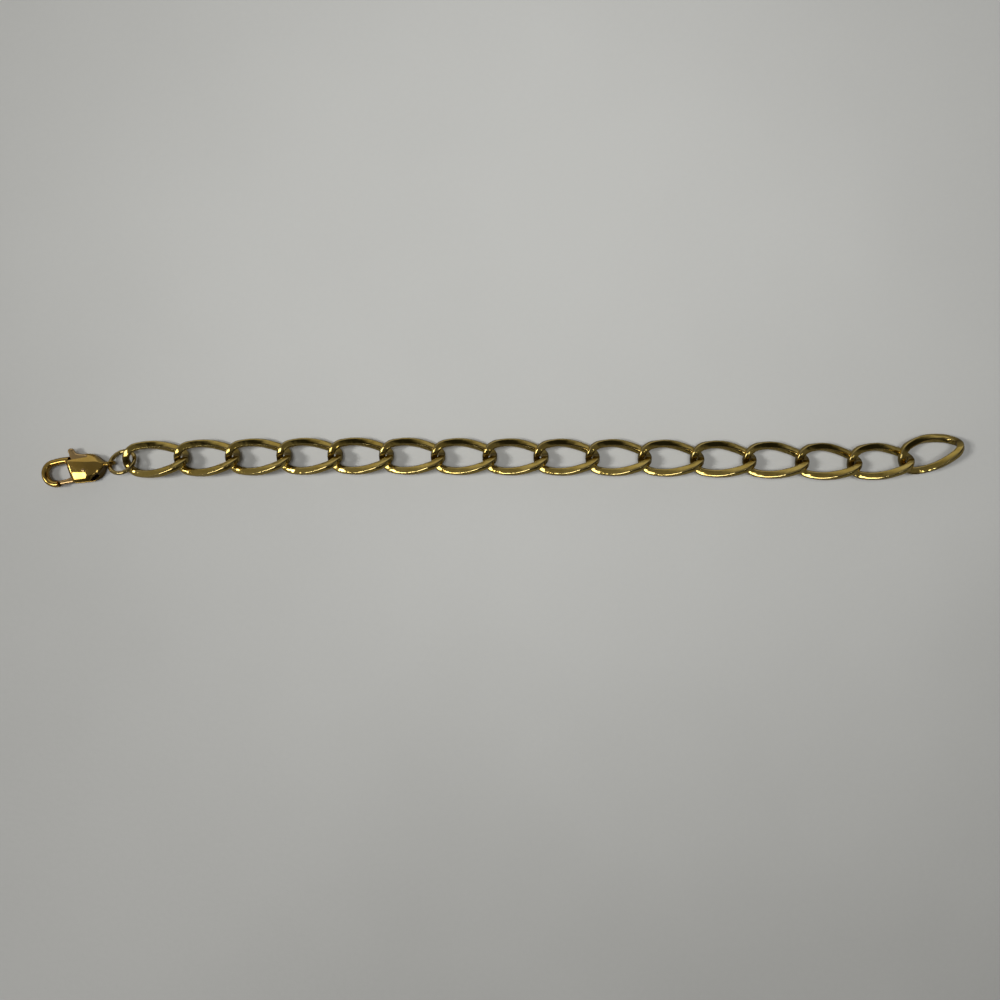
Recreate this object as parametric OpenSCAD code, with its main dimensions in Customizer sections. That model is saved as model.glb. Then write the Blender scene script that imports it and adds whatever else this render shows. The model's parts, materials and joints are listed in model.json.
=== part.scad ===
// Link bracelet of twisted square-wire curb links, with a jump ring and a lever clasp.
// It lies open and straight. X runs along the chain from the clasp to the free end link,
// Y across it, towards the thumb tab, and Z up from the surface that it lies on.

/* [Links] */
// Outer length of a link
link_l = 13.74; // [12.8:0.02:16]
// Outer width of a link, before its twist
link_w = 7.8; // [7.4:0.05:9]
// Width of the square wire, measured across the link
wire_w = 1.6; // [1.2:0.01:1.8]
// Height of the square wire
wire_h = 1.5; // [1.2:0.01:1.7]
// Width of the wire where the end bends wear on each other
bend_w = 1.3; // [1.1:0.01:1.4]
// Bevel along the four edges of the wire
wire_bevel = 0.14; // [0.05:0.01:0.3]
// Radius of a link's end bends, at the middle of the wire
bend_r = 2.8; // [2.3:0.05:2.85]
// Twist of a link from one end to the other, in degrees
link_twist = 86; // [80:1:92]

/* [Jump ring] */
// Outer diameter of the jump ring
ring_d = 6.3; // [5.8:0.1:7]
// Thickness of its round wire
ring_wire = 0.8; // [0.6:0.05:0.9]
// Tilt of the ring, its near side raised, in degrees
ring_tilt = 32; // [29:1:35]
// Rise of the ring from the clasp's eye towards the first link, in degrees
ring_rise = 10; // [8:1:12]

/* [Clasp body] */
// Length of the clasp from the hook's round end to the end of the eye
clasp_l = 15.4; // [14.6:0.1:18]
// Length of the domed body, without the hook and the eye
body_l = 7.5; // [7:0.1:8]
// Width of the domed body
body_w = 5.9; // [5.6:0.1:6.6]
// Height of the body at its crease
body_h = 3.6; // [3.4:0.1:4.2]
// Outer diameter of the hook's round end
hook_d = 5.8; // [5.4:0.1:6.4]
// Width of the hook's band, seen from above
hook_band = 1.35; // [1:0.05:1.5]
// Height of the hook's band
hook_h = 2.2; // [1.8:0.1:2.4]
// Radius of the hole in the tail eye
eye_r = 0.88; // [0.86:0.02:1]
// Rim of metal round that hole
eye_rim = 0.4; // [0.35:0.05:0.5]
// Thickness of the tail eye
eye_t = 0.7; // [0.6:0.05:0.75]

/* [Clasp lever] */
// Thickness of the lever
lever_t = 1.2; // [0.9:0.05:1.3]
// Width of the gate nose
nose_w = 0.95; // [0.8:0.05:1.1]
// Radius of the thumb tab's round end
tab_r = 0.56; // [0.45:0.02:0.65]
// How far the thumb tab stands out beyond the body
tab_out = 1.5; // [1:0.1:1.8]
// Radius of the pin
pin_r = 0.45; // [0.35:0.05:0.55]

/* [Clearances] */
// Slack between the jump ring and the first link
ring_slack = 0.6; // [0.3:0.01:0.7]
// Play of the jump ring in the tail eye
eye_play = 0.3; // [0.26:0.01:0.36]
// Gap on each side of the lever in its slot
slot_gap = 0.1; // [0.06:0.01:0.15]
// Gap between the gate nose and the hook's end
nose_gap = 0.14; // [0.1:0.01:0.2]
// Gap round the pin in the body
pin_gap = 0.02; // [0.01:0.005:0.03]
// Gap round the pin in the lever
lever_gap = 0.05; // [0.03:0.01:0.08]

/* [Hidden] */
$fn = 48;
gold = [0.72, 0.56, 0.24];
pale_gold = [0.78, 0.63, 0.32];

// How the links lie, from the clasp's end to the free end, chosen by hand.
// Each row: turn about Z, roll about the link's own length, and slack to the next link.
lay = [
    [1.6, -16, 0.51],
    [1.3, -16, 0.51],
    [0.8, -16, 0.51],
    [0.5, -16, 0.56],
    [0, -16, 0.46],
    [-0.5, -16, 0.41],
    [-0.3, -16, 0.46],
    [-0.3, -16, 0.56],
    [-0.4, -16, 0.36],
    [-0.6, -16, 0.28],
    [-0.8, -16, 0.31],
    [-1.1, -16, 0.22],
    [-1.2, -16, 0.22],
    [-1.8, -16, 0.36],
    [2.8, -16, 0.57],
    [17.4, -19, 0]
];
// The jump ring lies along this direction, and the clasp along the next one
ring_turn = 6;
ring_shift = -0.15;
clasp_turn = 10;

link_count = len(lay);
function two_digits(i) = i < 10 ? str("0", i) : str(i);
function link_name(i) = str("link_", two_digits(i));

// A direction in the XY plane, and a point of that plane turned about the origin
function along(angle) = [cos(angle), sin(angle)];
function turned(p, angle) = [p.x * cos(angle) - p.y * sin(angle), p.x * sin(angle) + p.y * cos(angle)];

// Link: a flat oval of four arcs on the wire's middle, twisted about its long axis

half_l = (link_l - bend_w) / 2;
half_w = (link_w - wire_w) / 2;
end_r = min(bend_r, half_w - 0.15);
side_r = (pow(half_l - end_r, 2) + pow(half_w, 2) - pow(end_r, 2)) / (2 * (half_w - end_r));
side_angle = asin((half_l - end_r) / (side_r - end_r));
side_steps = 8;
bend_steps = 12;

// Directions of the outward normal, from +Y clockwise, where the wire's sections stand
half_turn_normals = concat(
    [for (i = [0:side_steps - 1]) side_angle * (2 * i / side_steps - 1)],
    [for (i = [0:bend_steps - 1]) side_angle + (180 - 2 * side_angle) * i / bend_steps]);
section_normals = concat(half_turn_normals, [for (n = half_turn_normals) n + 180]);

// Point of the oval whose outward normal has that direction
function oval_point(normal) =
    abs(sin(normal)) < sin(side_angle)
        ? [side_r * sin(normal), sign(cos(normal)) * (side_r * abs(cos(normal)) - side_r + half_w)]
        : [sign(sin(normal)) * (half_l - end_r) + end_r * sin(normal), end_r * cos(normal)];

// How far a bend's middle is reached: 1 there and 0 along the sides
function in_bend(normal) = 1 - min(1, abs(cos(normal)) / cos(side_angle));

// The wire's section: outwards, upwards. In the bends it is slimmer and rounder inside.
function wire_section(normal) =
    let (b = in_bend(normal),
         w = (wire_w + (bend_w - wire_w) * b) / 2,
         h = (wire_h + (bend_w - wire_w) / 2 * b) / 2,
         e = wire_bevel,
         inner = wire_bevel * (1 + 1.2 * b))
    [[w, e - h], [w, h - e], [w - e, h], [inner - w, h],
     [-w, h - inner], [-w, inner - h], [inner - w, -h], [w - e, -h]];

function link_section(normal, roll) =
    let (p = oval_point(normal),
         twist = roll - link_twist / 2 * p.x / half_l,
         across = [0, cos(twist), sin(twist)],
         up = [0, -sin(twist), cos(twist)],
         middle = [p.x, 0, 0] + p.y * across,
         outward = [sin(normal), 0, 0] + cos(normal) * across)
    [for (s = wire_section(normal)) middle + s.x * outward + s.y * up];

function link_shape(roll) = [for (n = section_normals) each link_section(n, roll)];
function lowest(points) = min([for (p = points) p.z]);

// Centres of the links, the first at the start and each next one linked through the last
function half_pitch(i) = (2 * half_l - bend_w - lay[i][2]) / 2;
link_centres = [
    for (i = 0, c = [0, 0];
         i < link_count;
         c = i + 1 < link_count ? c + half_pitch(i) * (along(lay[i][0]) + along(lay[i + 1][0])) : c,
         i = i + 1) c
];

// Points of link i where it lies, before the whole is centred
function laid_link(i) =
    let (shape = link_shape(lay[i][1]), down = lowest(shape))
    [for (p = shape)
        let (q = link_centres[i] + turned(p, lay[i][0]))
        [q.x, q.y, p.z - down]];

// Ring and clasp, placed from the first link's left end

ring_r = (ring_d - ring_wire) / 2;
eye_z = body_h * 0.49;
ring_reach = ring_r * cos(ring_rise);
ring_link_side = link_centres[0] + ((bend_w + ring_wire) / 2 + ring_slack - half_l) * along(lay[0][0])
    + [0, ring_shift];
ring_centre = ring_link_side - ring_reach * along(ring_turn);
eye_centre = ring_centre - ring_reach * along(ring_turn)
    - (eye_r - ring_wire / 2 - eye_play) * along(clasp_turn);

// Clasp, in its own frame: the eye's centre at the origin and the hook towards -X

hook_r = hook_d / 2;
hook_middle_r = hook_r - hook_band / 2;
hook_x = eye_r + eye_rim - clasp_l + hook_r;
hook_y = body_w / 2 - hook_r - 0.15;
hook_end = 276;
body_left = -eye_r - body_l;
pivot = [body_left + 0.46 * body_l, -0.15 * body_w / 2];
slot_h = lever_t + 2 * slot_gap;
slot_right = body_left + 0.77 * body_l;
slot_left = body_left + 0.05 * body_l;
slot_room = 2 * body_w;
thumb_cut = 0.7 * body_w / 2;
// Radius about the pivot inside which the gate nose swings clear of the hook's end
hook_end_points = [for (r = [hook_r - hook_band, hook_r]) [hook_x, hook_y] + r * along(hook_end)];
nose_r = min([for (p = hook_end_points) norm(p - pivot)]) - nose_gap;

// Shape of the body from its hook end to its tail. Each row: place along the body, half width, top,
// base, place of the crease and shift across, as shares of its length, height and half width.
body_rows = [
    [0.00, 0.93, 0.88, 0.00, 0.66, 0.00],
    [0.12, 0.98, 0.95, 0.00, 0.60, 0.00],
    [0.30, 1.00, 1.00, 0.00, 0.48, 0.00],
    [0.46, 1.01, 1.00, 0.00, 0.40, -0.01],
    [0.60, 0.98, 0.98, 0.00, 0.36, -0.03],
    [0.71, 0.89, 0.94, 0.01, 0.38, -0.04],
    [0.81, 0.74, 0.90, 0.03, 0.44, -0.06],
    [0.90, 0.51, 0.85, 0.07, 0.50, -0.08],
    [0.96, 0.33, 0.82, 0.11, 0.46, -0.05],
    [1.00, 0.21, 0.79, 0.15, 0.40, 0.00]
];
body_steps = 2;
// Lean of the body's hook end: how much further back it is towards the gate's side
body_lean = 0.12;
// A smooth curve through four values, from the second to the third
function smooth(a, b, c, d, t) =
    b + t / 2 * (c - a + t * (2 * a - 5 * b + 4 * c - d + t * (3 * b - a - 3 * c + d)));
last_row = len(body_rows) - 1;
body_sections = concat([
    for (i = [0:last_row - 1], k = [0:body_steps - 1])
        smooth(body_rows[max(i - 1, 0)], body_rows[i], body_rows[i + 1],
               body_rows[min(i + 2, last_row)], k / body_steps)
], [body_rows[last_row]]);
// Outline of a section: place across, from the crease to the edge on the gate's side, and height
near_profile = [
    [0.00, 1.00], [0.18, 1.00], [0.37, 0.98], [0.56, 0.95], [0.73, 0.90],
    [0.87, 0.84], [0.96, 0.77], [1.00, 0.68], [1.00, 0.12], [0.93, 0.00]
];
// The same from the far edge back up to the crease
far_profile = [[0.90, 0.00], [1.00, 0.12], [1.00, 0.56], [0.94, 0.66], [0.70, 0.78], [0.35, 0.90]];
function body_section(row) =
    let (base = max(0, row[3]) * body_h, height = row[2] * body_h - base, crease = row[4],
         lean = body_lean * (1 - row[0]),
         across = concat([for (q = near_profile) crease - (1 + crease) * q.x],
                         [for (q = far_profile) crease + (1 - crease) * q.x]),
         up = [for (q = concat(near_profile, far_profile)) q.y])
    [for (k = [0:len(up) - 1])
        let (y = (across[k] * row[1] + row[5]) * body_w / 2)
        [body_left + row[0] * body_l + lean * (body_w / 4 - y), y, base + up[k] * height]];

// Outline of the hook's band and of its cut-off corners: outwards, upwards
band_bevel = 0.3;
band_section = let (w = hook_band / 2, h = hook_h / 2, e = band_bevel) [
    [w, e - h], [w, h - e], [w - 0.3 * e, h - 0.3 * e], [w - e, h], [e - w, h], [-w, h - e],
    [-w, e - h], [e - w, -h], [w - e, -h], [w - 0.3 * e, 0.3 * e - h]
];

// Middle of the thumb tab's round end
tab_x = slot_left + tab_r + slot_gap;
tab_centre = [tab_x, body_w / 2 + tab_out - tab_r];

// Outline of the lever: the nose, the inner side of the arm up to the tab, the back, and the outer edge.
nose_y = hook_y - hook_middle_r * sin(70);
lever_outline = [
    [hook_x, nose_y - nose_w / 2],
    [hook_x, nose_y + nose_w / 2],
    [body_left - 0.12 * body_l, nose_y + nose_w / 2],
    [body_left + 0.02 * body_l, nose_y + nose_w * 0.8],
    [body_left + 0.14 * body_l, nose_y + nose_w * 1.5],
    [body_left + 0.16 * body_l, 0.0],
    [body_left + 0.12 * body_l, 0.35 * body_w / 2],
    [tab_x - 0.7 * tab_r, 0.7 * body_w / 2],
    [tab_x - 0.9 * tab_r, tab_centre.y],
    [tab_x + 0.75 * tab_r, tab_centre.y + 0.55 * tab_r],
    [tab_x + 1.8 * tab_r, body_w / 2 + 0.35],
    [tab_x + 2.8 * tab_r, body_w / 2 + 0.1],
    [body_left + 0.50 * body_l, 0.95 * body_w / 2],
    [body_left + 0.58 * body_l, 0.8 * body_w / 2],
    [body_left + 0.60 * body_l, 0.4 * body_w / 2],
    [body_left + 0.55 * body_l, -0.1 * body_w / 2],
    [body_left + 0.46 * body_l, -0.5 * body_w / 2],
    [body_left + 0.28 * body_l, -0.82 * body_w / 2],
    [body_left + 0.1 * body_l, nose_y - nose_w / 2]
];

// Centre of the whole: half way between its outermost points
all_links = [for (i = [0:link_count - 1]) each laid_link(i)];
hook_place = eye_centre + turned([hook_x, hook_y], clasp_turn);
tab_place = eye_centre + turned(tab_centre, clasp_turn);
centre = [
    (hook_place.x - hook_r + max([for (p = all_links) p.x])) / 2,
    (min(hook_place.y - hook_r, min([for (p = all_links) p.y]))
        + max(tab_place.y + tab_r, max([for (p = all_links) p.y]))) / 2
];

// A closed skin over rings of points, joined into a loop or closed by two flat ends
module skin(rings, looped) {
    n = len(rings);
    m = len(rings[0]);
    sides = [
        for (i = [0:n - (looped ? 1 : 2)], j = [0:m - 1])
            let (a = i * m + j,
                 b = i * m + (j + 1) % m,
                 c = (i + 1) % n * m + (j + 1) % m,
                 d = (i + 1) % n * m + j)
            each [[a, c, b], [a, d, c]]
    ];
    ends = looped ? [] : [[for (j = [0:m - 1]) j], [for (j = [m - 1:-1:0]) (n - 1) * m + j]];
    polyhedron([for (r = rings) each r], concat(sides, ends));
}

module chain_link(i) {
    points = laid_link(i);
    m = len(wire_section(0));
    rings = [for (k = [0:len(section_normals) - 1]) [for (j = [0:m - 1]) points[k * m + j]]];
    color(gold)
        translate(-centre)
            skin(rings, true);
}

module jump_ring() {
    color(pale_gold)
        translate([ring_centre.x - centre.x, ring_centre.y - centre.y, eye_z + ring_r * sin(ring_rise)])
            rotate([0, -ring_rise, ring_turn])
                rotate([-ring_tilt, 0, 0])
                    rotate_extrude()
                        translate([ring_r, 0])
                            circle(d = ring_wire);
}

module on_clasp() {
    translate([eye_centre.x - centre.x, eye_centre.y - centre.y, 0])
        rotate([0, 0, clasp_turn])
            children();
}

module hook() {
    translate([hook_x, hook_y, eye_z])
        rotate([0, 0, 90])
            rotate_extrude(angle = hook_end - 90)
                translate([hook_middle_r, 0])
                    polygon(band_section);
    translate([hook_x, hook_y + hook_middle_r, eye_z])
        rotate([90, 0, 90])
            linear_extrude(slot_left - hook_x)
                polygon(band_section);
}

module eye() {
    translate([0, eye_t / 2, eye_z])
        rotate([90, 0, 0])
            cylinder(r = eye_r + eye_rim, h = eye_t);
}

// Space for the lever between the two cheeks, with the thumb's cut in the upper one
module lever_slot() {
    translate([slot_left, -slot_room / 2, eye_z - slot_h / 2])
        cube([slot_right - slot_left, slot_room, slot_h]);
    translate([hook_x, -slot_room / 2, eye_z - slot_h / 2])
        cube([slot_right - hook_x, slot_room / 2 + 0.35 * body_w / 2, slot_h]);
    translate([slot_left, thumb_cut, eye_z])
        cube([0.54 * body_l, slot_room, body_h]);
}

module clasp_body() {
    color(gold)
        on_clasp()
            difference() {
                union() {
                    difference() {
                        union() {
                            skin([for (row = body_sections) body_section(row)], false);
                            eye();
                        }
                        lever_slot();
                        translate([pivot.x, pivot.y, -1])
                            cylinder(r = pin_r + pin_gap, h = body_h + 2);
                    }
                    hook();
                }
                translate([0, eye_t, eye_z])
                    rotate([90, 0, 0])
                        cylinder(r = eye_r, h = 2 * eye_t);
            }
}

module clasp_lever() {
    color(pale_gold)
        on_clasp()
            translate([0, 0, eye_z - lever_t / 2])
                difference() {
                    union() {
                        intersection() {
                            linear_extrude(lever_t) polygon(lever_outline);
                            translate([pivot.x, pivot.y, -1])
                                cylinder(r = nose_r, h = lever_t + 2);
                        }
                        translate([tab_centre.x, tab_centre.y, 0])
                            cylinder(r = tab_r, h = lever_t);
                        translate([pivot.x, pivot.y, 0])
                            cylinder(r = 2.2 * pin_r, h = lever_t);
                    }
                    translate([pivot.x, pivot.y, -1])
                        cylinder(r = pin_r + lever_gap, h = lever_t + 2);
                }
}

module clasp_pin() {
    color(pale_gold)
        on_clasp()
            translate([pivot.x, pivot.y, 0.1])
                cylinder(r = pin_r, h = 0.98 * body_h - 0.1);
}

for (i = [1:link_count])
    chain_link(i - 1);
jump_ring();
clasp_body();
clasp_lever();
clasp_pin();
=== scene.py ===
import json
import math

import bmesh
import bpy
from mathutils import Matrix, Vector

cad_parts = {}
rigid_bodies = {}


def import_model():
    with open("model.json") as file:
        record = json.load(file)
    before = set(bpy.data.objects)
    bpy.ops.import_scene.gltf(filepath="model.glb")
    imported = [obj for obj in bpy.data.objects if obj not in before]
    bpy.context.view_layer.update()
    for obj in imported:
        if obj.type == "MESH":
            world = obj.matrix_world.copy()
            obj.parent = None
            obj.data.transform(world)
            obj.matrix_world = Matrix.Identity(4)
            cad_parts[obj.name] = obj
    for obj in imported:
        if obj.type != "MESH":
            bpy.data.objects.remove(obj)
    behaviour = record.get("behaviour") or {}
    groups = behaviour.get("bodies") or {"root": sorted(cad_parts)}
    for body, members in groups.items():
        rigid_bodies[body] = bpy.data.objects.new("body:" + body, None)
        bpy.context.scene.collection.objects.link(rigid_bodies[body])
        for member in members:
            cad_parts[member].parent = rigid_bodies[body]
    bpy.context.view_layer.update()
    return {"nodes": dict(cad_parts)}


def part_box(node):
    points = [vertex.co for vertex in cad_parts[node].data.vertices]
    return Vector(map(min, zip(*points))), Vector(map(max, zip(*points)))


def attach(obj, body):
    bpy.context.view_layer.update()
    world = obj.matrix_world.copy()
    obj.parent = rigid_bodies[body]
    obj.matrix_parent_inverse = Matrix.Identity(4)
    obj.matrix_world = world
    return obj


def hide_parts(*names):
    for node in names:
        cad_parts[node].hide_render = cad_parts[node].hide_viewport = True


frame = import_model()
mm = 0.001
print("frame loaded:", len(frame["nodes"]), "nodes")


# small helpers for the node trees

class Signal:
    # one socket of a tree, so that sums are written as plain Python
    def __init__(self, patch, socket):
        self.patch = patch
        self.socket = socket

    def sums(self, operation, *items):
        return self.patch.add("ShaderNodeMath", {"operation": operation}, dict(enumerate(items)))

    def __add__(self, other): return self.sums("ADD", self, other)
    def __radd__(self, other): return self.sums("ADD", other, self)
    def __sub__(self, other): return self.sums("SUBTRACT", self, other)
    def __rsub__(self, other): return self.sums("SUBTRACT", other, self)
    def __mul__(self, other): return self.sums("MULTIPLY", self, other)
    def __rmul__(self, other): return self.sums("MULTIPLY", other, self)
    def __truediv__(self, other): return self.sums("DIVIDE", self, other)
    def __rtruediv__(self, other): return self.sums("DIVIDE", other, self)
    def __pow__(self, other): return self.sums("POWER", self, other)
    def __lt__(self, other): return self.sums("LESS_THAN", self, other)
    def __gt__(self, other): return self.sums("GREATER_THAN", self, other)
    def __neg__(self): return self.sums("MULTIPLY", self, -1.0)
    def __abs__(self): return self.sums("ABSOLUTE", self)
    def sin(self): return self.sums("SINE", self)
    def cos(self): return self.sums("COSINE", self)
    def arcsin(self): return self.sums("ARCSINE", self)
    def sign(self): return self.sums("SIGN", self)
    def floor(self): return self.sums("FLOOR", self)
    def atMost(self, other): return self.sums("MINIMUM", self, other)
    def atLeast(self, other): return self.sums("MAXIMUM", self, other)


class Patch:
    # fills one node tree; add() takes a node's type, its settings and its sockets
    def __init__(self, tree):
        self.tree = tree
        tree.nodes.clear()

    def pick(self, sockets, key):
        if isinstance(key, int):
            return sockets[key]
        named = [s for s in sockets if s.name == key]
        return ([s for s in named if s.enabled] or named)[0]

    def add(self, kind, settings=None, sockets=None, out=0):
        node = self.tree.nodes.new(kind)
        for name, value in (settings or {}).items():
            if name == "stops":
                ramp = node.color_ramp
                while len(ramp.elements) < len(value):
                    ramp.elements.new(0.5)
                for element, (place, colour) in zip(ramp.elements, value):
                    element.position = place
                    element.color = (*colour, 1.0)
            else:
                setattr(node, name, value)
        for key, value in (sockets or {}).items():
            slot = self.pick(node.inputs, key)
            if isinstance(value, Signal):
                self.tree.links.new(value.socket, slot)
            else:
                slot.default_value = value
        return Signal(self, self.pick(node.outputs, out)) if len(node.outputs) else None

    def other(self, signal, out):
        # another output of the node that a signal comes from
        return Signal(self, self.pick(signal.socket.node.outputs, out))


def newGroup(name, inputs):
    # a Geometry Nodes tree with named inputs, and the signals of those inputs
    tree = bpy.data.node_groups.new(name, "GeometryNodeTree")
    patch = Patch(tree)
    tree.interface.new_socket("Geometry", in_out="INPUT", socket_type="NodeSocketGeometry")
    tree.interface.new_socket("Geometry", in_out="OUTPUT", socket_type="NodeSocketGeometry")
    for label, kind in inputs.items():
        tree.interface.new_socket(label, in_out="INPUT", socket_type="NodeSocket" + kind)
    entry = patch.add("NodeGroupInput")
    return tree, patch, {label: patch.other(entry, label) for label in ["Geometry", *inputs]}


def grow(name, baseMesh, tree, values):
    # runs a tree on a mesh and keeps the result as a plain mesh object
    carrier = bpy.data.objects.new(name + "Base", baseMesh)
    bpy.context.scene.collection.objects.link(carrier)
    modifier = carrier.modifiers.new(name, "NODES")
    modifier.node_group = tree
    for item in tree.interface.items_tree:
        if item.in_out == "INPUT" and item.name in values:
            modifier[item.identifier] = values[item.name]
    grown = bpy.data.meshes.new_from_object(carrier.evaluated_get(bpy.context.evaluated_depsgraph_get()))
    carrier.modifiers.remove(modifier)
    bpy.data.objects.remove(carrier)
    return addPiece(name, grown)


def addPiece(name, mesh):
    mesh.name = name
    piece = bpy.data.objects.new(name, mesh)
    bpy.context.scene.collection.objects.link(piece)
    return piece


def faceOutwards(mesh):
    work = bmesh.new()
    work.from_mesh(mesh)
    if work.calc_volume(signed=True) < 0:
        bmesh.ops.reverse_faces(work, faces=work.faces[:])
    work.to_mesh(mesh)
    work.free()


# the metal's finishes

goldTones = {
    "link": {"light": (0.84, 0.65, 0.21), "deep": (0.56, 0.39, 0.08), "rough": 0.075, "wear": 0.10, "dents": 8.0},
    "ring": {"light": (0.74, 0.57, 0.24), "deep": (0.48, 0.35, 0.11), "rough": 0.09, "wear": 0.10, "dents": 4.0},
    "cast": {"light": (0.80, 0.57, 0.18), "deep": (0.66, 0.41, 0.08), "rough": 0.08, "wear": 0.12, "dents": 0.0},
    # the lever's tones are lighter and more orange than the cast body's: a painted reflection on the lever, its tab
    # and the pin
    "lever": {"light": (1.0, 0.71, 0.35), "deep": (0.88, 0.58, 0.24), "rough": 0.14, "wear": 0.14, "dents": 0.0},
}


# shared by all the finishes; the scales are per millimetre, and the bump's depth is in metres
goldSurface = {
    "driftScale": 0.35, "cloudScale": 1.9, "grainScale": 14.0, "dentScale": 0.8,
    "rubTurn": (0.3, 0.5, 0.9), "rubStretch": (0.9, 14.0, 9.0),
    "wornColour": (0.90, 0.76, 0.42), "wornShare": 0.35,
    # colour and share of the painted shade
    "paintedShadeColour": (0.10, 0.06, 0.015), "paintedShadeShare": 0.87,
    "bump": 0.35, "bumpDepth": 0.00003,
}


def goldFinish(name, tone, edge=None, shade=None):
    # polished gold with a soft change of tone, faint rubbed scratches and brighter edges
    material = bpy.data.materials.new(name)
    material.use_nodes = True
    patch = Patch(material.node_tree)
    place = patch.add("ShaderNodeTexCoord", out="Object")
    inMm = patch.add("ShaderNodeMapping", None, {"Vector": place, "Scale": (1000.0, 1000.0, 1000.0)})
    drift = patch.add("ShaderNodeTexNoise", None, {"Vector": inMm, "Scale": goldSurface["driftScale"], "Detail": 3.0})
    cloud = patch.add("ShaderNodeTexNoise", None, {"Vector": inMm, "Scale": goldSurface["cloudScale"], "Detail": 4.0})
    grain = patch.add("ShaderNodeTexNoise", None, {"Vector": inMm, "Scale": goldSurface["grainScale"], "Detail": 3.0})
    turned = patch.add("ShaderNodeMapping", None, {
        "Vector": inMm, "Rotation": goldSurface["rubTurn"], "Scale": goldSurface["rubStretch"]})
    rubbed = patch.add("ShaderNodeTexNoise", None, {"Vector": turned, "Scale": 1.0, "Detail": 2.0})
    scratch = ((rubbed - 0.60) * 6.0).atLeast(0.0).atMost(1.0)
    blend = (drift * 1.5 - 0.35 + (cloud - 0.5) * 0.6).atLeast(0.0).atMost(1.0)
    colour = patch.add("ShaderNodeMix", {"data_type": "RGBA"}, {
        "Factor": blend, "A": (*tone["deep"], 1.0), "B": (*tone["light"], 1.0)}, out="Result")
    rough = tone["rough"] + (cloud - 0.5) * 0.10 + scratch * tone["wear"] + (grain - 0.5) * 0.05
    height = (cloud - 0.5) * 0.6 + (grain - 0.5) * 0.12 - scratch * 0.10
    if tone["dents"]:
        # slight flats and hollows in the wire
        uneven = patch.add("ShaderNodeTexNoise", None, {
            "Vector": inMm, "Scale": goldSurface["dentScale"], "Detail": 1.0})
        height = height + (uneven - 0.5) * tone["dents"]
    if edge:
        worn = patch.add("ShaderNodeAttribute", {"attribute_name": edge}, out="Fac")
        colour = patch.add("ShaderNodeMix", {"data_type": "RGBA"}, {
            "Factor": worn * goldSurface["wornShare"], "A": colour,
            "B": (*goldSurface["wornColour"], 1.0)}, out="Result")
        rough = rough + worn * 0.04
    if shade:
        # painted shade: the colour turns to a dark brown where the shade attribute is high
        paintedShadeMask = patch.add("ShaderNodeAttribute", {"attribute_name": shade}, out="Fac")
        colour = patch.add("ShaderNodeMix", {"data_type": "RGBA"}, {
            "Factor": paintedShadeMask * goldSurface["paintedShadeShare"], "A": colour,
            "B": (*goldSurface["paintedShadeColour"], 1.0)}, out="Result")
    bump = patch.add("ShaderNodeBump", None, {
        "Strength": goldSurface["bump"], "Distance": goldSurface["bumpDepth"], "Height": height})
    shader = patch.add("ShaderNodeBsdfPrincipled", None, {
        "Base Color": colour, "Metallic": 1.0, "Roughness": rough.atLeast(0.05), "Normal": bump,
        "IOR": 1.5})
    patch.add("ShaderNodeOutputMaterial", None, {"Surface": shader})
    return material


goldLink = goldFinish("goldLink", goldTones["link"], edge="wornEdge", shade="dullShade")
goldRing = goldFinish("goldRing", goldTones["ring"])
goldCast = goldFinish("goldCast", goldTones["cast"], shade="dullShade")
goldLever = goldFinish("goldLever", goldTones["lever"])
print("gold finishes made")


# links: one tree makes a curb link and sets sixteen of them on points

links = {
    "length": 13.74, "width": 7.8, "wireWidth": 1.6, "wireHeight": 1.5, "bendWidth": 1.3,
    "bendRadius": 2.8, "twist": 86.0, "edge": 3.9, "bendEdge": 4.4, "around": 112, "section": 32,
    "sideShare": 0.36, "endSpare": 0.15, "waver": 0.03, "seed": 7,
    # turn and roll of each link in degrees, from the clasp to the free end, as in the rows of part.scad
    "turns": [1.6, 1.3, 0.8, 0.5, 0.0, -0.5, -0.3, -0.3, -0.4, -0.6, -0.8, -1.1, -1.2, -1.8, 2.8, 17.4],
    "rolls": [-16.0] * 15 + [-19.0],
    # millimetres from the middle of the CAD box to the link's own centre, measured for these turns and rolls
    "nudges": {"link_15": (0.0, 0.041, 0.0), "link_16": (0.03, 0.348, 0.0)},
}


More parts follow.
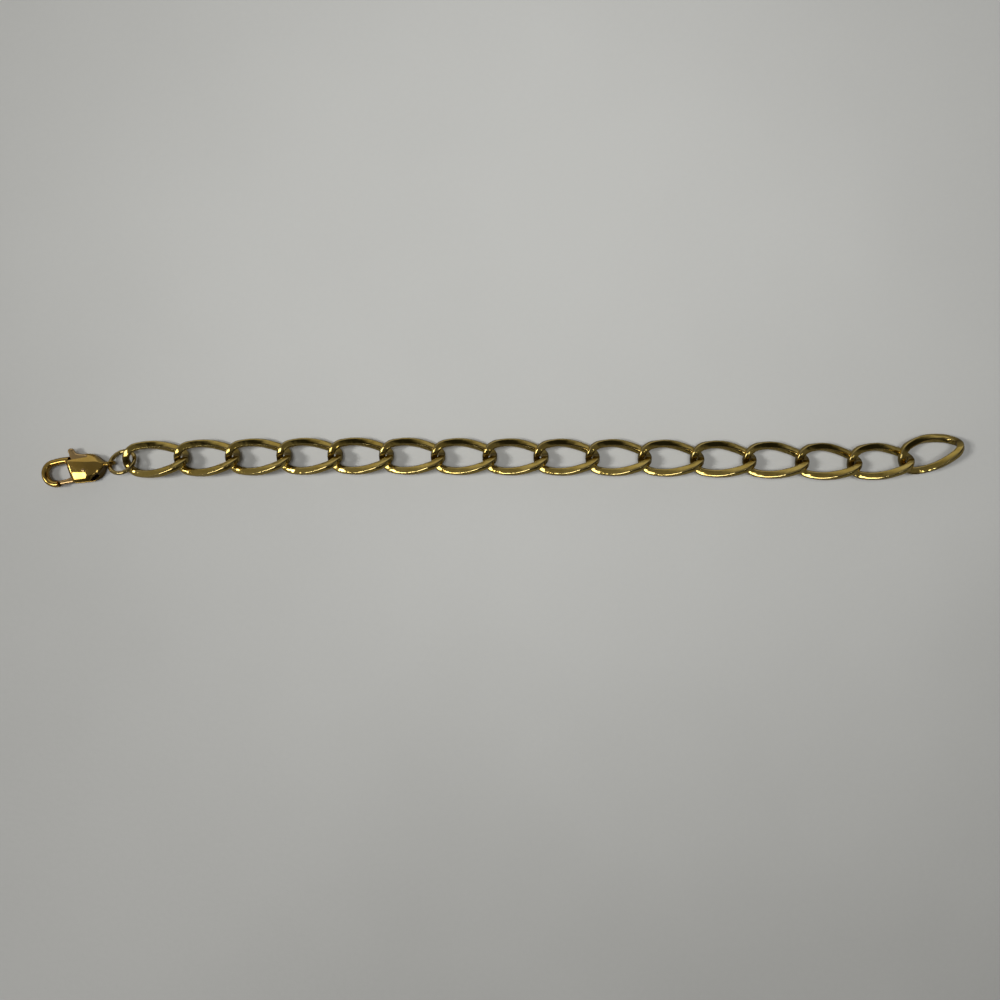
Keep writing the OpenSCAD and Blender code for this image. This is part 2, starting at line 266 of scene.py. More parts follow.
def curbLinkTree():
    tree, patch, given = newGroup("curbLinks", {
        "Length": "Float", "Width": "Float", "Wire width": "Float", "Wire height": "Float",
        "Bend width": "Float", "Bend radius": "Float", "Twist": "Float", "Edge sharpness": "Float",
        "Bend edge sharpness": "Float", "Side share": "Float", "Steps around": "Int",
        "Steps in section": "Int", "Waver": "Float", "Seed": "Int", "Metal": "Material"})
    halfL = (given["Length"] - given["Bend width"]) * 0.5
    halfW = (given["Width"] - given["Wire width"]) * 0.5
    endR = given["Bend radius"].atMost(halfW - links["endSpare"] * mm)
    reach = halfL - endR
    sideR = (reach * reach + halfW * halfW - endR * endR) / (2.0 * (halfW - endR))
    sideAngle = (reach / (sideR - endR)).arcsin()

    sheet = patch.add("GeometryNodeMeshGrid", None, {
        "Size X": 1.0, "Size Y": 1.0, "Vertices X": given["Steps around"] + 1,
        "Vertices Y": given["Steps in section"] + 1})
    spot = patch.add("ShaderNodeSeparateXYZ", None, {0: patch.add("GeometryNodeInputPosition")})
    around = (spot + 0.5) * 2.0
    turn = (patch.other(spot, "Y") + 0.5) * (2.0 * math.pi)

    # direction of the outward normal: the flat sides first, then the bend, and the same once more
    half = (around + 0.00001).floor()
    local = around - half
    onSide = sideAngle * (2.0 * local / given["Side share"] - 1.0)
    onBend = (sideAngle + (math.pi - 2.0 * sideAngle)
              * (local - given["Side share"]) / (1.0 - given["Side share"]))
    isSide = local < given["Side share"]
    normal = isSide * onSide + (1.0 - isSide) * onBend + half * math.pi
    s, c = normal.sin(), normal.cos()
    sx = s.sign()
    alongX = isSide * (sideR * s) + (1.0 - isSide) * (sx * reach + endR * s)
    acrossY = isSide * (c.sign() * (sideR * abs(c) - sideR + halfW)) + (1.0 - isSide) * (endR * c)
    bend = 1.0 - (abs(c) / sideAngle.cos()).atMost(1.0)

    # the wire's square section with rounded edges, rounder inside the bends
    u, v = turn.cos(), turn.sin()
    inner = (u < 0.0) * bend
    power = 2.0 / (given["Edge sharpness"] + (given["Bend edge sharpness"] - given["Edge sharpness"]) * inner)
    slimmer = (given["Bend width"] - given["Wire width"]) * bend
    outward = (given["Wire width"] + slimmer) * 0.5 * u.sign() * abs(u) ** power
    upward = (given["Wire height"] + slimmer * 0.5) * 0.5 * v.sign() * abs(v) ** power
    edge = (2.0 * abs(u * v)) ** 3.0
    # painted shade: darkest in the middle of each bend, where the links cross
    shade = bend * bend

    # the link is twisted along its length
    twist = -0.5 * given["Twist"] * alongX / halfL
    flat = acrossY + outward * c
    shaped = patch.add("ShaderNodeCombineXYZ", None, {
        "X": alongX + outward * s,
        "Y": flat * twist.cos() - upward * twist.sin(),
        "Z": flat * twist.sin() + upward * twist.cos()})
    marked = patch.add("GeometryNodeStoreNamedAttribute", {"data_type": "FLOAT", "domain": "POINT"}, {
        "Geometry": sheet, "Name": "wornEdge", "Value": edge})
    shaded = patch.add("GeometryNodeStoreNamedAttribute", {"data_type": "FLOAT", "domain": "POINT"}, {
        "Geometry": marked, "Name": "dullShade", "Value": shade})
    bent = patch.add("GeometryNodeSetPosition", None, {"Geometry": shaded, "Position": shaped})
    closed = patch.add("GeometryNodeMergeByDistance", None, {"Geometry": bent, "Distance": 0.001 * mm})

    # one link on each point, turned and rolled as the point says
    points = patch.add("GeometryNodeMeshToPoints", None, {"Mesh": given["Geometry"]})
    roll, turned = (patch.add("GeometryNodeInputNamedAttribute", {"data_type": "FLOAT"}, {"Name": n}, out="Attribute")
                    for n in ("roll", "turn"))
    angles = patch.add("ShaderNodeCombineXYZ", None, {"X": roll, "Z": turned})
    chain = patch.add("GeometryNodeInstanceOnPoints", None, {
        "Points": points, "Instance": closed, "Rotation": angles})
    solid = patch.add("GeometryNodeRealizeInstances", None, {"Geometry": chain})
    # a very slight unevenness, so that no two links catch the light alike
    where = patch.add("ShaderNodeVectorMath", {"operation": "SCALE"}, {
        0: patch.add("GeometryNodeInputPosition"), "Scale": 1.0 / mm})
    uneven = patch.add("ShaderNodeTexNoise", {"noise_dimensions": "4D"}, {
        "Vector": where, "W": given["Seed"] * 1.0, "Scale": 0.28, "Detail": 1.0}, out="Color")
    centred = patch.add("ShaderNodeVectorMath", {"operation": "SUBTRACT"}, {0: uneven, 1: (0.5, 0.5, 0.5)})
    shift = patch.add("ShaderNodeVectorMath", {"operation": "SCALE"}, {0: centred, "Scale": given["Waver"]})
    soft = patch.add("GeometryNodeSetPosition", None, {"Geometry": solid, "Offset": shift})
    smooth = patch.add("GeometryNodeSetShadeSmooth", None, {"Geometry": soft})
    clothed = patch.add("GeometryNodeSetMaterial", None, {"Geometry": smooth, "Material": given["Metal"]})
    patch.add("NodeGroupOutput", None, {"Geometry": clothed})
    return tree


def makeLinks():
    names = ["link_%02d" % (i + 1) for i in range(len(links["turns"]))]
    middles = [(Vector(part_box(n)[0]) + Vector(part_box(n)[1])) / 2
               + Vector(links["nudges"].get(n, (0.0, 0.0, 0.0))) * mm for n in names]
    dots = bpy.data.meshes.new("linkPoints")
    dots.from_pydata([tuple(p) for p in middles], [], [])
    for label, angles in (("turn", links["turns"]), ("roll", links["rolls"])):
        dots.attributes.new(label, "FLOAT", "POINT").data.foreach_set(
            "value", [math.radians(a) for a in angles])
    chain = grow("curbLinks", dots, curbLinkTree(), {
        "Length": links["length"] * mm, "Width": links["width"] * mm,
        "Wire width": links["wireWidth"] * mm, "Wire height": links["wireHeight"] * mm,
        "Bend width": links["bendWidth"] * mm, "Bend radius": links["bendRadius"] * mm,
        "Twist": math.radians(links["twist"]), "Edge sharpness": links["edge"],
        "Bend edge sharpness": links["bendEdge"], "Side share": links["sideShare"],
        "Steps around": links["around"], "Steps in section": links["section"],
        "Waver": links["waver"] * mm, "Seed": links["seed"], "Metal": goldLink})
    faceOutwards(chain.data)
    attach(chain, "bracelet")
    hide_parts(*names)
    return chain


chain = makeLinks()
print("links:", len(links["turns"]), "links,", len(chain.data.polygons), "faces")


# jump ring

jumpRing = {
    "across": 6.3, "wire": 0.84, "tilt": -32.0, "rise": -10.0, "turn": 6.0,
    "around": 96, "section": 24, "waver": 0.03, "seed": 3,
}


def jumpRingTree():
    tree, patch, given = newGroup("jumpRing", {
        "Across": "Float", "Wire": "Float", "Lean": "Vector", "Steps around": "Int",
        "Steps in section": "Int", "Waver": "Float", "Seed": "Int", "Metal": "Material"})
    circle = patch.add("GeometryNodeCurvePrimitiveCircle", {"mode": "RADIUS"}, {
        "Resolution": given["Steps around"], "Radius": (given["Across"] - given["Wire"]) * 0.5})
    section = patch.add("GeometryNodeCurvePrimitiveCircle", {"mode": "RADIUS"}, {
        "Resolution": given["Steps in section"], "Radius": given["Wire"] * 0.5})
    round_ = patch.add("GeometryNodeCurveToMesh", None, {"Curve": circle, "Profile Curve": section})
    where = patch.add("ShaderNodeVectorMath", {"operation": "SCALE"}, {
        0: patch.add("GeometryNodeInputPosition"), "Scale": 1.0 / mm})
    uneven = patch.add("ShaderNodeTexNoise", {"noise_dimensions": "4D"}, {
        "Vector": where, "W": given["Seed"] * 1.0, "Scale": 0.4, "Detail": 1.0}, out="Color")
    centred = patch.add("ShaderNodeVectorMath", {"operation": "SUBTRACT"}, {0: uneven, 1: (0.5, 0.5, 0.5)})
    shift = patch.add("ShaderNodeVectorMath", {"operation": "SCALE"}, {0: centred, "Scale": given["Waver"]})
    soft = patch.add("GeometryNodeSetPosition", None, {"Geometry": round_, "Offset": shift})
    points = patch.add("GeometryNodeMeshToPoints", None, {"Mesh": given["Geometry"]})
    placed = patch.add("GeometryNodeInstanceOnPoints", None, {
        "Points": points, "Instance": soft, "Rotation": given["Lean"]})
    solid = patch.add("GeometryNodeRealizeInstances", None, {"Geometry": placed})
    smooth = patch.add("GeometryNodeSetShadeSmooth", None, {"Geometry": solid})
    clothed = patch.add("GeometryNodeSetMaterial", None, {"Geometry": smooth, "Material": given["Metal"]})
    patch.add("NodeGroupOutput", None, {"Geometry": clothed})
    return tree


def makeJumpRing():
    low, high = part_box("jump_ring")
    dot = bpy.data.meshes.new("ringPoint")
    dot.from_pydata([tuple((Vector(low) + Vector(high)) / 2)], [], [])
    ring = grow("jumpRing", dot, jumpRingTree(), {
        "Across": jumpRing["across"] * mm, "Wire": jumpRing["wire"] * mm,
        "Lean": [math.radians(jumpRing[k]) for k in ("tilt", "rise", "turn")],
        "Steps around": jumpRing["around"], "Steps in section": jumpRing["section"],
        "Waver": jumpRing["waver"] * mm, "Seed": jumpRing["seed"], "Metal": goldRing})
    faceOutwards(ring.data)
    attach(ring, "bracelet")
    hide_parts("jump_ring")
    return ring


ring = makeJumpRing()
print("jump ring:", len(ring.data.polygons), "faces")


# clasp: cast body with hook and eye, lever and pin, all in millimetres from the eye's middle

clasp = {
    "length": 15.4, "bodyLength": 7.5, "bodyWidth": 5.9, "bodyHeight": 3.6, "turn": 10.0,
    "eyeRadius": 0.88, "eyeRim": 0.4, "eyeThick": 0.7, "hookAcross": 5.8, "hookBand": 1.35,
    "hookHigh": 2.2, "hookBow": 0.10, "hookEnd": 276.0, "lean": 0.12, "leverThick": 1.2, "slotGap": 0.1,
    "hookFuller": 0.04, "hookPower": 2.3, "armSteps": 10, "hookSteps": 60, "eyeEdge": 0.1, "eyeSteps": 64,
    "voxel": 0.055, "smoothing": 5,
    # place along the body, half width, top, base, place of the crease, shift across
    "rows": [
        (0.00, 0.93, 0.84, 0.00, 0.66, 0.00), (0.06, 0.955, 0.96, 0.00, 0.63, 0.00),
        (0.15, 0.98, 0.985, 0.00, 0.58, 0.00),
        (0.30, 1.00, 1.00, 0.00, 0.48, 0.00), (0.46, 1.01, 1.00, 0.00, 0.40, -0.01),
        (0.60, 0.98, 0.98, 0.00, 0.36, -0.03), (0.71, 0.89, 0.94, 0.01, 0.38, -0.04),
        (0.81, 0.74, 0.90, 0.03, 0.44, -0.06), (0.90, 0.51, 0.85, 0.07, 0.50, -0.08),
        (0.96, 0.33, 0.82, 0.11, 0.46, -0.05), (1.00, 0.21, 0.79, 0.15, 0.40, 0.00)],
    # across from the crease to the near edge, and height
    "nearDome": [(0.00, 1.00), (0.18, 1.00), (0.37, 0.98), (0.56, 0.95), (0.73, 0.90),
                 (0.87, 0.84), (0.96, 0.77), (1.00, 0.68)],
    # the same where the body narrows towards the eye: a rim and below it a wall that flares out
    "nearWall": [(0.00, 1.00), (0.22, 0.99), (0.46, 0.96), (0.65, 0.90), (0.74, 0.84),
                 (0.80, 0.58), (0.89, 0.33), (1.00, 0.14)],
    "farDome": [(1.00, 0.56), (0.94, 0.66), (0.70, 0.78), (0.35, 0.90), (0.00, 1.00)],
    # the painted shade of the wall under the rim fades in along the body and towards the near side, and out upwards
    "wallAlong": (0.50, 0.68), "wallNear": (0.15, 0.6), "wallUp": (0.74, 0.86),
    # the painted shade inside the slot fades in at its start, and out at its end, its far side and above and below
    "slotStart": (0.02, 0.08), "slotStop": (0.8, 0.9), "slotFar": (0.4, 0.65), "slotUp": (0.4, 0.6),
}
eyeZ = clasp["bodyHeight"] * 0.49
halfBody = clasp["bodyWidth"] / 2
bodyLeft = -clasp["eyeRadius"] - clasp["bodyLength"]
hookR = clasp["hookAcross"] / 2
hookMiddle = hookR - clasp["hookBand"] / 2
hookX = clasp["eyeRadius"] + clasp["eyeRim"] - clasp["length"] + hookR
hookY = halfBody - hookR - 0.15
pivot = Vector((bodyLeft + 0.46 * clasp["bodyLength"], -0.15 * halfBody, 0.0))
slotLeft = bodyLeft + 0.05 * clasp["bodyLength"]
slotRight = bodyLeft + 0.77 * clasp["bodyLength"]
slotHigh = clasp["leverThick"] + 2 * clasp["slotGap"]

pinLow, pinHigh = (Vector(corner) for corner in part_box("clasp_pin"))
claspTurn = Matrix.Rotation(math.radians(clasp["turn"]), 4, "Z")
eyePlace = (pinLow + pinHigh) / 2 - claspTurn @ (pivot * mm)
toFrame = Matrix.Translation((eyePlace.x, eyePlace.y, 0.0)) @ claspTurn @ Matrix.Scale(mm, 4)


def throughPoints(points, steps):
    # a smooth curve through all the given points, with extra points between them
    last = len(points) - 1
    result = []
    for i in range(last):
        a, b, c, d = (points[min(max(k, 0), last)] for k in (i - 1, i, i + 1, i + 2))
        for k in range(steps):
            t = k / steps
            result.append(tuple(
                q + t / 2 * (r - p + t * (2 * p - 5 * q + 4 * r - s + t * (3 * q - p - 3 * r + s)))
                for p, q, r, s in zip(a, b, c, d)))
    return result + [tuple(points[-1])]


def skinOver(rings, looped=False):
    work = bmesh.new()
    rows = [[work.verts.new(p) for p in ringPoints] for ringPoints in rings]
    count = len(rows[0])
    for i in range(len(rows) if looped else len(rows) - 1):
        a, b = rows[i], rows[(i + 1) % len(rows)]
        for j in range(count):
            work.faces.new((a[j], a[(j + 1) % count], b[(j + 1) % count], b[j]))
    if not looped:
        work.faces.new(rows[0][::-1])
        work.faces.new(rows[-1])
    if work.calc_volume(signed=True) < 0:
        bmesh.ops.reverse_faces(work, faces=work.faces[:])
    mesh = bpy.data.meshes.new("skin")
    work.to_mesh(mesh)
    work.free()
    return mesh


def boxBetween(low, high):
    corners = ((low[0], low[1]), (high[0], low[1]), (high[0], high[1]), (low[0], high[1]))
    return skinOver([[(x, y, z) for x, y in corners] for z in (low[2], high[2])])


def cushion(outline, low, high, round_):
    # a plate whose top and bottom edges are rounded off
    count = len(outline)
    area = sum(outline[k - 1][0] * outline[k][1] - outline[k][0] * outline[k - 1][1] for k in range(count))
    inwards = []
    for k in range(count):
        along = Vector(outline[(k + 1) % count]) - Vector(outline[k - 1])
        inwards.append(Vector((-along.y, along.x)).normalized() * (1 if area > 0 else -1))
    rings = []
    for up, inset in ((low, 1.0), (low + 0.3 * round_, 0.45), (low + round_, 0.0),
                      (high - round_, 0.0), (high - 0.3 * round_, 0.45), (high, 1.0)):
        rings.append([(x + n.x * inset * round_, y + n.y * inset * round_, up)
                      for (x, y), n in zip(outline, inwards)])
    return skinOver(rings)


def discAt(middle, radius, low, high, steps=48):
    return skinOver([[(middle[0] + radius * math.cos(2 * math.pi * k / steps),
                       middle[1] + radius * math.sin(2 * math.pi * k / steps), z)
                      for k in range(steps)] for z in (low, high)])


def cutAway(mesh, cutters):
    solid = addPiece("cutSolid", mesh)
    tools = [addPiece("cutTool", cutter) for cutter in cutters]
    for tool in tools:
        cut = solid.modifiers.new("cut", "BOOLEAN")
        cut.operation, cut.solver, cut.object = "DIFFERENCE", "EXACT", tool
    left = bpy.data.meshes.new_from_object(solid.evaluated_get(bpy.context.evaluated_depsgraph_get()))
    for piece in [solid, *tools]:
        bpy.data.objects.remove(piece)
    return left


def castSolid(name, meshes, voxel, smoothing, material):
    # melts several closed skins into one cast piece with softly rounded edges
    work = bmesh.new()
    for mesh in meshes:
        work.from_mesh(mesh)
    joined = bpy.data.meshes.new(name)
    work.to_mesh(joined)
    work.free()
    solid = addPiece(name + "Mould", joined)
    melt = solid.modifiers.new("melt", "REMESH")
    melt.mode, melt.voxel_size, melt.use_smooth_shade = "VOXEL", voxel, True
    soften = solid.modifiers.new("soften", "SMOOTH")
    soften.factor, soften.iterations = 0.5, smoothing
    cast = bpy.data.meshes.new_from_object(solid.evaluated_get(bpy.context.evaluated_depsgraph_get()))
    bpy.data.objects.remove(solid)
    cast.transform(toFrame)
    cast.materials.clear()
    cast.materials.append(material)
    cast.polygons.foreach_set("use_smooth", [True] * len(cast.polygons))
    piece = addPiece(name, cast)
    faceOutwards(cast)
    return piece


def rise(value, low, high):
    t = min(max((value - low) / (high - low), 0.0), 1.0)
    return t * t * (3 - 2 * t)


def bodySkin():
    rings = []
    for place, wide, top, base, crease, shift in throughPoints(clasp["rows"], 6):
        low = max(0.0, base) * clasp["bodyHeight"]
        high = top * clasp["bodyHeight"] - low
        lean = clasp["lean"] * (1 - place)
        flare = rise(place, 0.42, 0.78)
        near = [(a + (c - a) * flare, b + (d - b) * flare)
                for (a, b), (c, d) in zip(clasp["nearDome"], clasp["nearWall"])]
        nearSide = throughPoints(near, 4) + [(1.0, 0.12 - 0.04 * flare), (0.93, 0.0)]
        farSide = [(0.90, 0.0), (1.0, 0.12)] + throughPoints(clasp["farDome"], 4)[:-1]
        outline = [(crease - (1 + crease) * x, z) for x, z in nearSide]
        outline += [(crease + (1 - crease) * x, z) for x, z in farSide]
        ringPoints = []
        for across, up in outline:
            y = (across * wide + shift) * halfBody
            ringPoints.append((bodyLeft + place * clasp["bodyLength"] + lean * (halfBody / 2 - y), y,
                               low + up * high))
        rings.append(ringPoints)
    return skinOver(rings)


def bandSection(w, h, e):
    # outwards and upwards: a band with cut-off, slightly rounded edges
    near = [(w, e - h), (w, h - e), (w - 0.3 * e, h - 0.3 * e), (w - e, h), (e - w, h), (-w, h - e)]
    return near + [(-w, e - h), (e - w, -h), (w - e, -h), (w - 0.3 * e, 0.3 * e - h)]


def roundSection(w, h, power, steps=24):
    turns = [2 * math.pi * k / steps for k in range(steps)]
    return [(w * math.copysign(abs(math.cos(a)) ** (2 / power), math.cos(a)),
             h * math.copysign(abs(math.sin(a)) ** (2 / power), math.sin(a))) for a in turns]


def hookSkin():
    section = roundSection(clasp["hookBand"] / 2 + clasp["hookFuller"], clasp["hookHigh"] / 2, clasp["hookPower"])
    # the arm that leads to it is very slightly bowed
    rings = []
    for k in range(clasp["armSteps"]):
        t = k / clasp["armSteps"]
        lean = math.atan(4 * clasp["hookBow"] * (2 * t - 1) / (slotLeft - hookX))
        middleY = hookY + hookMiddle + 4 * clasp["hookBow"] * t * (1 - t)
        rings.append([(slotLeft + (hookX - slotLeft) * t - out * math.sin(lean),
                       middleY + out * math.cos(lean), eyeZ + up) for out, up in section])
    for k in range(clasp["hookSteps"] + 1):
        angle = math.radians(90 + (clasp["hookEnd"] - 90) * k / clasp["hookSteps"])
        rings.append([(hookX + (hookMiddle + out) * math.cos(angle),
                       hookY + (hookMiddle + out) * math.sin(angle), eyeZ + up) for out, up in section])
    return skinOver(rings)


def eyeSkin():
    rim, thick = clasp["eyeRim"] / 2, clasp["eyeThick"] / 2
    middle = clasp["eyeRadius"] + rim
    section = bandSection(rim, thick, clasp["eyeEdge"])
    return skinOver([[((middle + out) * math.cos(a), up, eyeZ + (middle + out) * math.sin(a))
                      for out, up in section]
                     for a in (2 * math.pi * k / clasp["eyeSteps"] for k in range(clasp["eyeSteps"]))],
                    looped=True)


def makeClaspBody():
    past = 2 * clasp["bodyWidth"]
    slotBase, slotTop = eyeZ - slotHigh / 2, eyeZ + slotHigh / 2
    shell = cutAway(bodySkin(), [
        boxBetween((slotLeft, -past, slotBase), (slotRight, past, slotTop)),
        boxBetween((hookX, -past, slotBase), (slotLeft + 0.01, 0.35 * halfBody, slotTop)),
        boxBetween((slotLeft, 0.7 * halfBody, eyeZ),
                   (slotLeft + 0.54 * clasp["bodyLength"], past, eyeZ + clasp["bodyHeight"]))])
    body = castSolid("claspBody", [shell, hookSkin(), eyeSkin()],
                     clasp["voxel"], clasp["smoothing"], goldCast)
    # painted shade: the wall under the rim and the inside of the slot are coloured dark
    backToClasp = toFrame.inverted()
    shades = []
    for vertex in body.data.vertices:
        p = backToClasp @ vertex.co
        place = (p.x - bodyLeft) / clasp["bodyLength"]
        wall = rise(place, *clasp["wallAlong"]) * rise(-p.y, *clasp["wallNear"])
        wall = wall * (1 - rise(p.z, *(k * clasp["bodyHeight"] for k in clasp["wallUp"])))
        slot = rise(place, *clasp["slotStart"]) * (1 - rise(place, *clasp["slotStop"]))
        slot = slot * (1 - rise(p.y, *(k * halfBody for k in clasp["slotFar"])))
        slot = slot * (1 - rise(abs(p.z - eyeZ), *(slotHigh * k for k in clasp["slotUp"])))
        shades.append(max(wall, slot))
    body.data.attributes.new("dullShade", "FLOAT", "POINT").data.foreach_set("value", shades)
    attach(body, "bracelet")
    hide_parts("clasp_body")
    return body


body = makeClaspBody()
print("clasp body:", len(body.data.polygons), "faces")

lever = {
    "noseWide": 0.95, "noseGap": 0.14, "noseAngle": 70, "noseSteps": 6, "tabRadius": 0.56, "tabOut": 1.5,
    "tabFuller": 0.05, "tabSteps": 32, "hub": 0.99, "rounding": 0.3, "voxel": 0.05, "smoothing": 6,
}


def makeLever():
    noseY = hookY - hookMiddle * math.sin(math.radians(lever["noseAngle"]))
    tabR = lever["tabRadius"]
    tabX = slotLeft + tabR + clasp["slotGap"]
    tabY = halfBody + lever["tabOut"] - tabR
    endAngle = math.radians(clasp["hookEnd"])
    ends = [Vector((hookX + r * math.cos(endAngle), hookY + r * math.sin(endAngle), 0))
            for r in (hookR - clasp["hookBand"], hookR)]
    reach = min((p - pivot).length for p in ends) - lever["noseGap"]
    tip = []
    for k in range(lever["noseSteps"] + 1):
        y = noseY - lever["noseWide"] / 2 + lever["noseWide"] * k / lever["noseSteps"]
        tip.append((pivot.x - math.sqrt(reach ** 2 - (y - pivot.y) ** 2), y))
    length, wide = clasp["bodyLength"], lever["noseWide"]
    outline = tip + [
        (bodyLeft - 0.12 * length, noseY + wide / 2), (bodyLeft + 0.02 * length, noseY + wide * 0.8),
        (bodyLeft + 0.14 * length, noseY + wide * 1.5), (bodyLeft + 0.16 * length, 0.0),
        (bodyLeft + 0.12 * length, 0.35 * halfBody), (tabX - 0.7 * tabR, 0.7 * halfBody),
        (tabX - 0.9 * tabR, tabY), (tabX + 0.75 * tabR, tabY + 0.55 * tabR),
        (tabX + 1.8 * tabR, halfBody + 0.35), (tabX + 2.8 * tabR, halfBody + 0.1),
        (bodyLeft + 0.50 * length, 0.95 * halfBody), (bodyLeft + 0.58 * length, 0.8 * halfBody),
        (bodyLeft + 0.60 * length, 0.4 * halfBody), (bodyLeft + 0.55 * length, -0.1 * halfBody),
        (bodyLeft + 0.46 * length, -0.5 * halfBody), (bodyLeft + 0.28 * length, -0.82 * halfBody),
        (bodyLeft + 0.1 * length, noseY - wide / 2)]
    low, high = eyeZ - clasp["leverThick"] / 2, eyeZ + clasp["leverThick"] / 2
    tabEnd = tabR + lever["tabFuller"]
    tabTop = [(tabX + tabEnd * math.cos(2 * math.pi * k / lever["tabSteps"]),
               tabY + tabEnd * math.sin(2 * math.pi * k / lever["tabSteps"])) for k in range(lever["tabSteps"])]
    piece = castSolid("claspLever", [
        cushion(outline, low, high, lever["rounding"]), cushion(tabTop, low, high, lever["rounding"]),
        discAt(pivot, lever["hub"], low, high)],
        lever["voxel"], lever["smoothing"], goldLever)
    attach(piece, "lever")
    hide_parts("clasp_lever")
    return piece


leverPiece = makeLever()
print("clasp lever:", len(leverPiece.data.polygons), "faces")

pin = {"radius": 0.45, "proud": 0.03, "steps": 40}


def makePin():
    # a rivet with two slightly domed heads
    low, high = pinLow.z / mm, pinHigh.z / mm
    r = pin["radius"]
    proud = pin["proud"]
    profile = [(low, 0.5 * r), (low + 0.02, 0.85 * r), (low + 0.07, r), (high - 0.06, r),
               (high - 0.015, 0.9 * r), (high + 0.6 * proud, 0.65 * r), (high + 0.9 * proud, 0.35 * r),
               (high + proud, 0.1 * r)]
    rings = []
    for z, radius in profile:
        rings.append([(pivot.x + radius * math.cos(a), pivot.y + radius * math.sin(a), z)
                      for a in (2 * math.pi * k / pin["steps"] for k in range(pin["steps"]))])
    mesh = skinOver(rings)
    mesh.transform(toFrame)
    mesh.polygons.foreach_set("use_smooth", [True] * len(mesh.polygons))
    mesh.materials.append(goldLever)
    piece = addPiece("claspPin", mesh)
    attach(piece, "bracelet")
    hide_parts("clasp_pin")
    return piece


pinPiece = makePin()
print("clasp pin:", len(pinPiece.data.polygons), "faces")


# table, light and camera

table = {
    # light and deep are the table's colours inside and outside a painted pool of light, whose middle and reach follow
    "half": 0.9, "steps": 24, "light": (0.70, 0.705, 0.685), "deep": (0.385, 0.385, 0.37),
    "paintedLightSpot": (0.01, 0.052), "fade": 0.212, "wideNoise": 16.0, "fineNoise": 900.0,
    "mirroredDim": 0.7, "mirroredDeep": (0.03, 0.025, 0.02),
}


def makeTable():
    work = bmesh.new()
    bmesh.ops.create_grid(work, x_segments=table["steps"], y_segments=table["steps"], size=table["half"])
    mesh = bpy.data.meshes.new("tableTop")
    work.to_mesh(mesh)
    work.free()
    top = addPiece("tableTop", mesh)
    material = bpy.data.materials.new("paleTable")
    material.use_nodes = True
    patch = Patch(material.node_tree)
    place = patch.add("ShaderNodeTexCoord", out="Object")
    wide = patch.add("ShaderNodeTexNoise", None, {"Vector": place, "Scale": table["wideNoise"], "Detail": 3.0})
    fine = patch.add("ShaderNodeTexNoise", None, {"Vector": place, "Scale": table["fineNoise"], "Detail": 4.0})
    # painted pool of light: light colour around the spot, deep colour towards the edges
    fromSpot = patch.add("ShaderNodeMapping", {"vector_type": "POINT"}, {
        "Vector": place, "Location": (-table["paintedLightSpot"][0], -table["paintedLightSpot"][1], 0.0)})
    away = patch.add("ShaderNodeVectorMath", {"operation": "LENGTH"}, {0: fromSpot}, out="Value")
    near = 1.0 - ((away / table["fade"]) ** 2.0).atMost(1.0)
    blend = (near * near + (wide - 0.5) * 0.25 + (fine - 0.5) * 0.06).atLeast(0.0).atMost(1.0)
    colour = patch.add("ShaderNodeMix", {"data_type": "RGBA"}, {
        "Factor": blend, "A": (*table["deep"], 1.0), "B": (*table["light"], 1.0)}, out="Result")
    # only in mirror rays the table is much darker, which deepens what the gold reflects of it: a trick of this
    # stage that isn't physical and isn't part of the model, so the gold looks brighter on another table
    mirrored = patch.add("ShaderNodeLightPath", out="Is Glossy Ray")
    colour = patch.add("ShaderNodeMix", {"data_type": "RGBA"}, {
        "Factor": mirrored * table["mirroredDim"], "A": colour,
        "B": (*table["mirroredDeep"], 1.0)}, out="Result")
    bump = patch.add("ShaderNodeBump", None, {"Strength": 0.3, "Distance": 0.0001, "Height": fine})
    shader = patch.add("ShaderNodeBsdfPrincipled", None, {
        "Base Color": colour, "Roughness": 0.42 + (wide - 0.5) * 0.1, "Normal": bump, "IOR": 1.45})
    patch.add("ShaderNodeOutputMaterial", None, {"Surface": shader})
    mesh.materials.append(material)
    return top


makeTable()

lamps = {
    # strip lamps seen only as highlights: the azimuth and tilt from overhead of both ends in degrees
    "window": {"from": (219, 44), "to": (243, 30), "wide": 0.76, "bright": 4.8, "colour": (1.0, 0.99, 0.97)},
    "sideWindow": {"from": (191, 44), "to": (201, 51), "wide": 0.32, "bright": 7.5, "colour": (0.98, 0.99, 1.0)},
    "strip": {"from": (293, 34), "to": (304, 37), "wide": 0.15, "bright": 2.2, "colour": (0.98, 0.99, 1.0)},
}
# soft light for diffuse surfaces only, mostly from the left: the metal doesn't mirror these lamps
softLamps = {
    "softKey": {"from": (178, 37), "to": (192, 37), "wide": 0.42, "bright": 44.0, "colour": (1.0, 0.99, 0.97)},
    "softTop": {"from": (180, 8), "to": (0, 8), "wide": 0.55, "bright": 12.6, "colour": (0.98, 0.99, 1.0)},
}
lampAway = 2.1
room = {
    "overhead": 0.115, "back": 0.32, "left": 0.085, "front": 0.085, "dark": 0.10, "darkHeading": (25, 55),
    "colour": (1.0, 0.97, 0.92),
    # where each of them begins and is full, along its own direction
    "backFrom": (0.45, 0.98), "leftFrom": (0.1, 0.7), "frontFrom": (0.45, 0.8), "darkFrom": (0.72, 0.94),
}


def heading(azimuth, tilt):
    a, t = math.radians(azimuth), math.radians(tilt)
    return Vector((math.sin(t) * math.cos(a), math.sin(t) * math.sin(a), math.cos(t)))


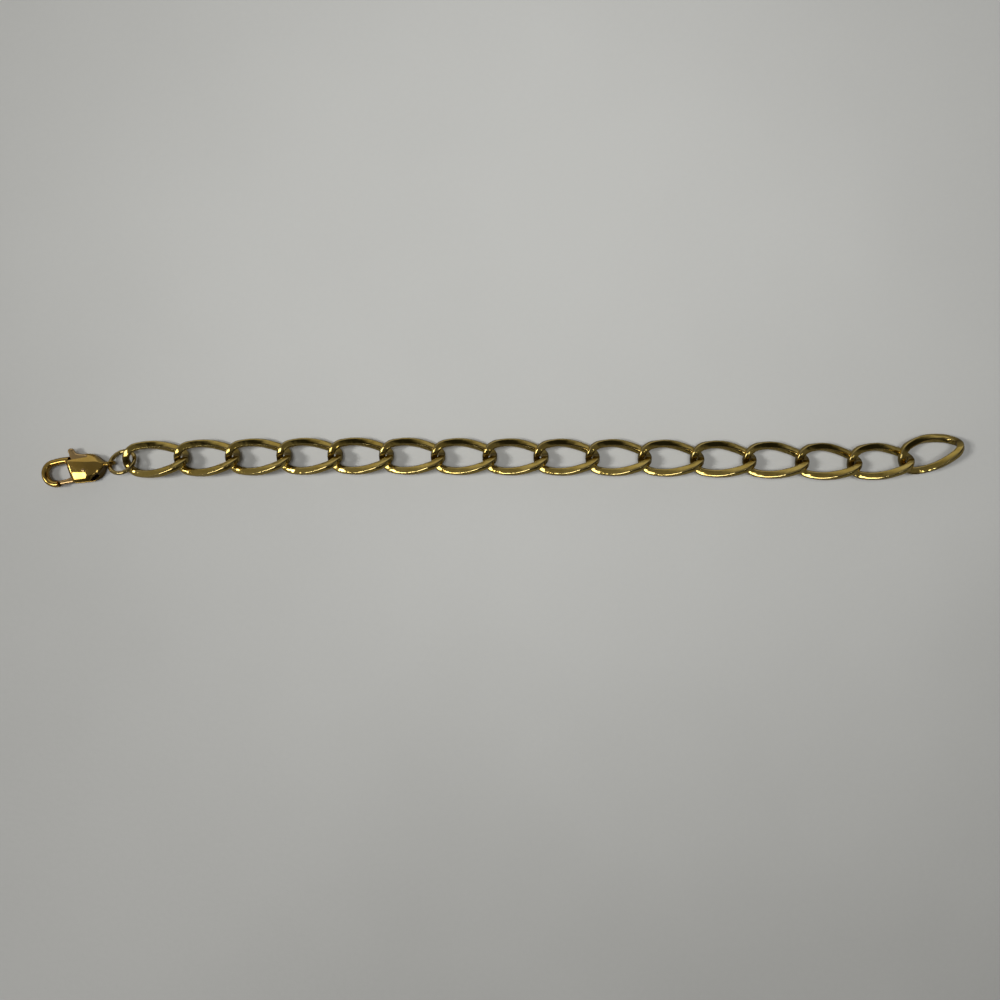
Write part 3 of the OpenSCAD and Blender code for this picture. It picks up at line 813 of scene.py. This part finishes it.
def makeLamp(name, lamp, soft):
    start, end = (heading(*lamp[k]) * lampAway for k in ("from", "to"))
    middle = (start + end) / 2
    facing = middle.normalized()
    along = (end - start).normalized()
    along = (along - facing * along.dot(facing)).normalized()
    data = bpy.data.lights.new(name, "AREA")
    data.shape = "RECTANGLE"
    data.size, data.size_y = (end - start).length, lamp["wide"]
    data.energy = lamp["bright"] * math.pi * data.size * data.size_y
    data.color = lamp["colour"]
    light = bpy.data.objects.new(name, data)
    turn = Matrix((along, facing.cross(along), facing)).transposed()
    light.matrix_world = Matrix.Translation(middle) @ turn.to_4x4()
    light.visible_glossy = not soft
    light.visible_diffuse = soft
    bpy.context.scene.collection.objects.link(light)


def makeLight():
    for name, lamp in lamps.items():
        makeLamp(name, lamp, False)
    for name, lamp in softLamps.items():
        makeLamp(name, lamp, True)
    world = bpy.data.worlds.new("studio")
    bpy.context.scene.world = world
    world.use_nodes = True
    patch = Patch(world.node_tree)
    # the room: dim overhead, a paler wall behind, a dark corner to the right of it
    facing = patch.add("ShaderNodeTexCoord", out="Generated")
    split = patch.add("ShaderNodeSeparateXYZ", None, {0: facing})
    x, y, z = (patch.other(split, axis) for axis in "XYZ")

    def fadeIn(value, low, high):
        return patch.add("ShaderNodeMapRange", {"interpolation_type": "SMOOTHSTEP"}, {
            "Value": value, "From Min": low, "From Max": high, "To Min": 0.0, "To Max": 1.0})

    corner = heading(*room["darkHeading"])
    towards = x * corner.x + y * corner.y + z * corner.z
    level = (room["overhead"] + fadeIn(y, *room["backFrom"]) * room["back"]
             + fadeIn(-x, *room["leftFrom"]) * room["left"])
    level = (level - fadeIn(-y, *room["frontFrom"]) * room["front"]
             - fadeIn(towards, *room["darkFrom"]) * room["dark"])
    tint = patch.add("ShaderNodeVectorMath", {"operation": "SCALE"}, {
        0: room["colour"], "Scale": level.atLeast(0.0)})
    colour = patch.add("ShaderNodeMix", {"data_type": "RGBA"}, {
        "Factor": 1.0, "A": (0.0, 0.0, 0.0, 1.0), "B": tint}, out="Result")
    shader = patch.add("ShaderNodeBackground", None, {"Color": colour, "Strength": 1.0})
    patch.add("ShaderNodeOutputWorld", None, {"Surface": shader})


makeLight()

view = {"place": (-0.00028, -0.00827, 0.227), "lens": 38.9, "sensor": 36.0, "clip": (0.01, 20.0)}
cameraData = bpy.data.cameras.new("photoCamera")
cameraData.lens = view["lens"]
cameraData.sensor_width = view["sensor"]
cameraData.clip_start, cameraData.clip_end = view["clip"]
camera = bpy.data.objects.new("photoCamera", cameraData)
camera.location = view["place"]
bpy.context.scene.collection.objects.link(camera)
bpy.context.scene.camera = camera
bpy.context.scene.view_settings.view_transform = "Standard"
print("table, light and camera set")
